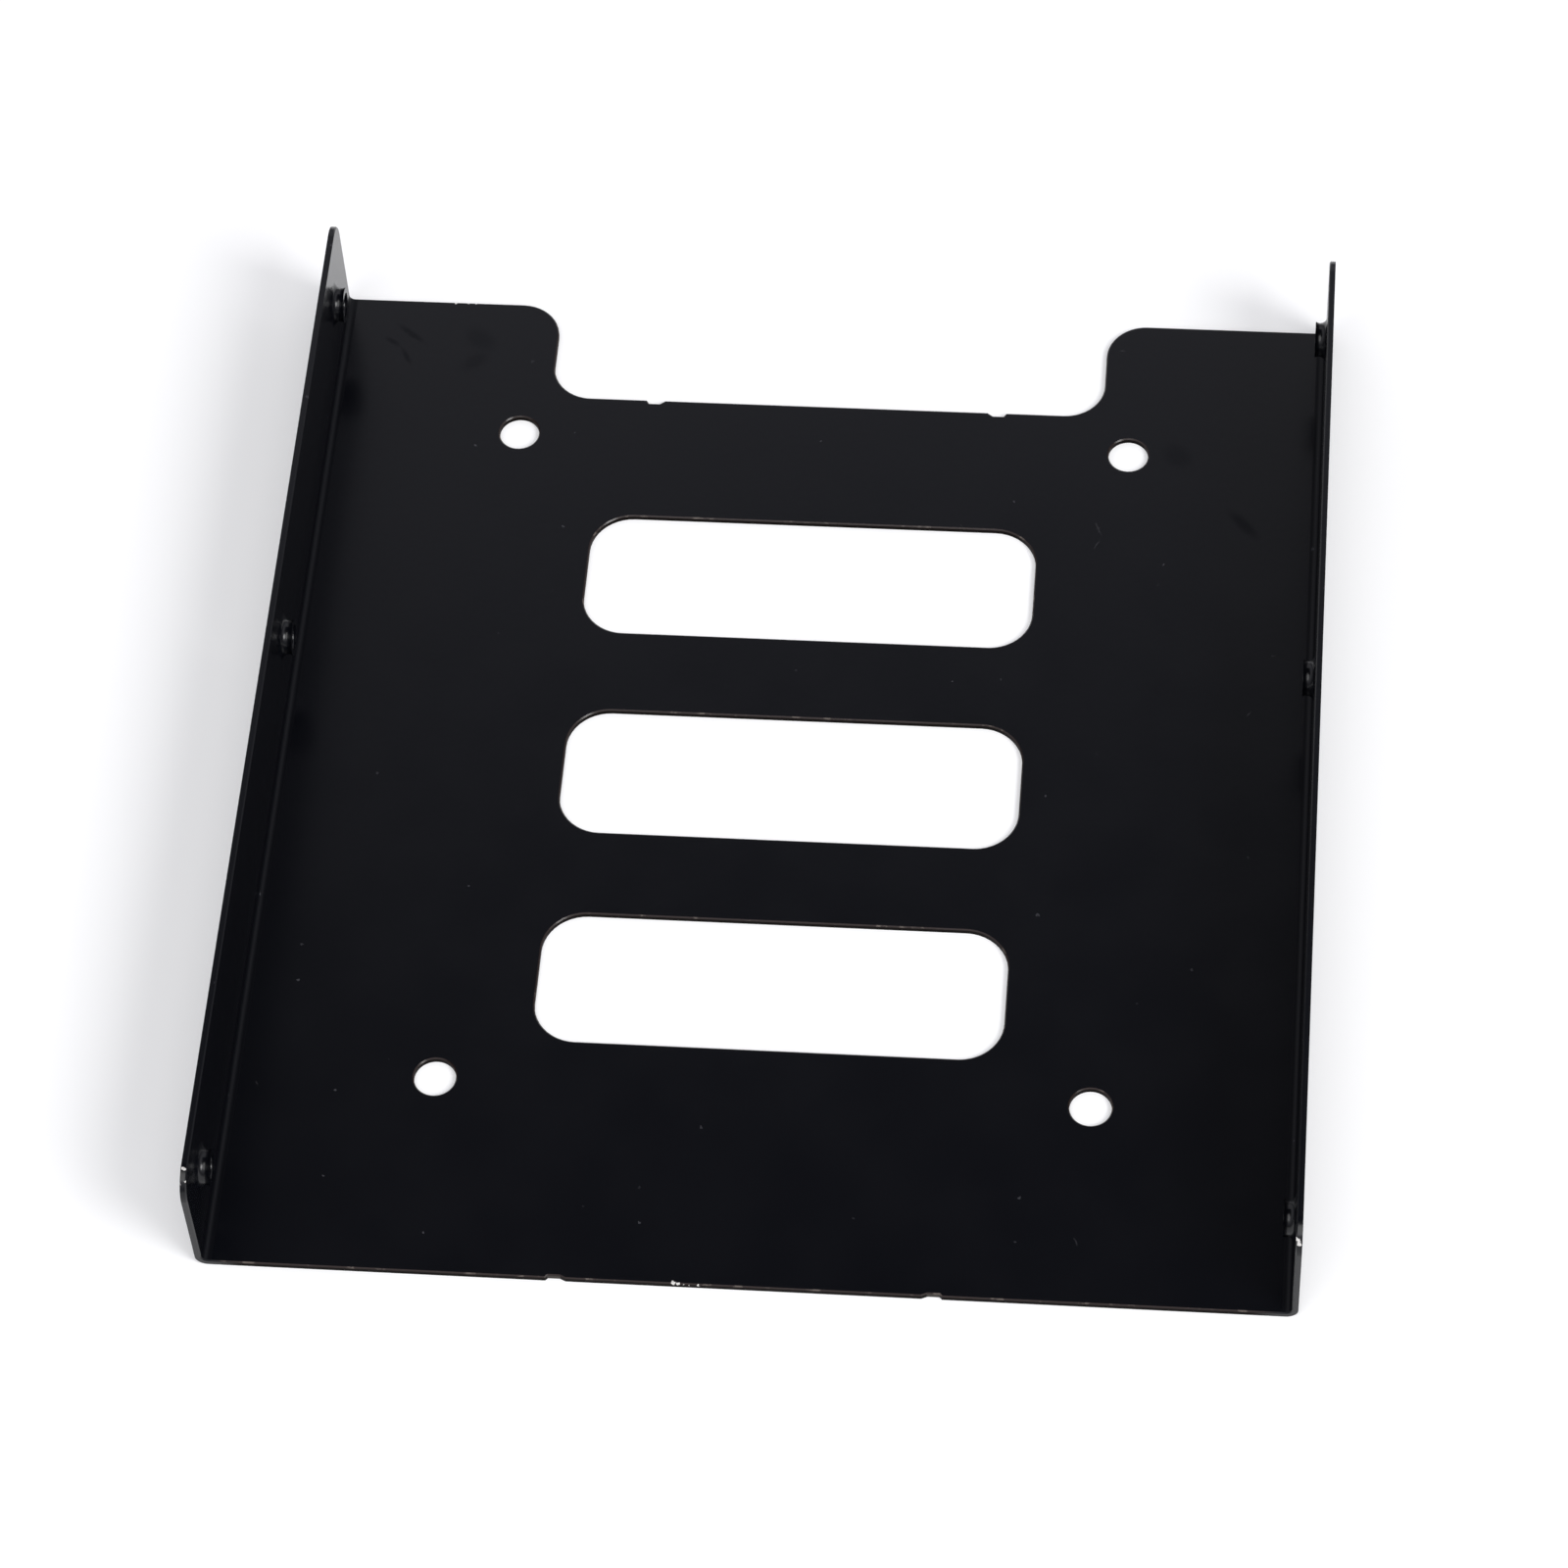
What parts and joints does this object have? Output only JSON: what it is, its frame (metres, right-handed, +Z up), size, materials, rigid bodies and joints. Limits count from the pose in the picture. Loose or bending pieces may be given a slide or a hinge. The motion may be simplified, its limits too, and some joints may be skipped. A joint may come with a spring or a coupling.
{
  "type": "drive bay adapter bracket",
  "caption": "Black painted steel tray, folded up along both sides, with air slots, drive screw holes, tapped side collars and a cable notch; fits a small drive in a larger bay.",
  "frame": {"origin": "middle of the underside, on the plane that the tray rests on", "axes": "+X across the tray, +Y from the plain front edge to the notched rear edge, +Z up along the flanges"},
  "size_m": [0.1016, 0.1142, 0.0138],
  "materials": {
    "black_coat": "satin"
  },
  "bodies": {
    "root": {"bracket": "black_coat"}
  },
  "joints": []
}
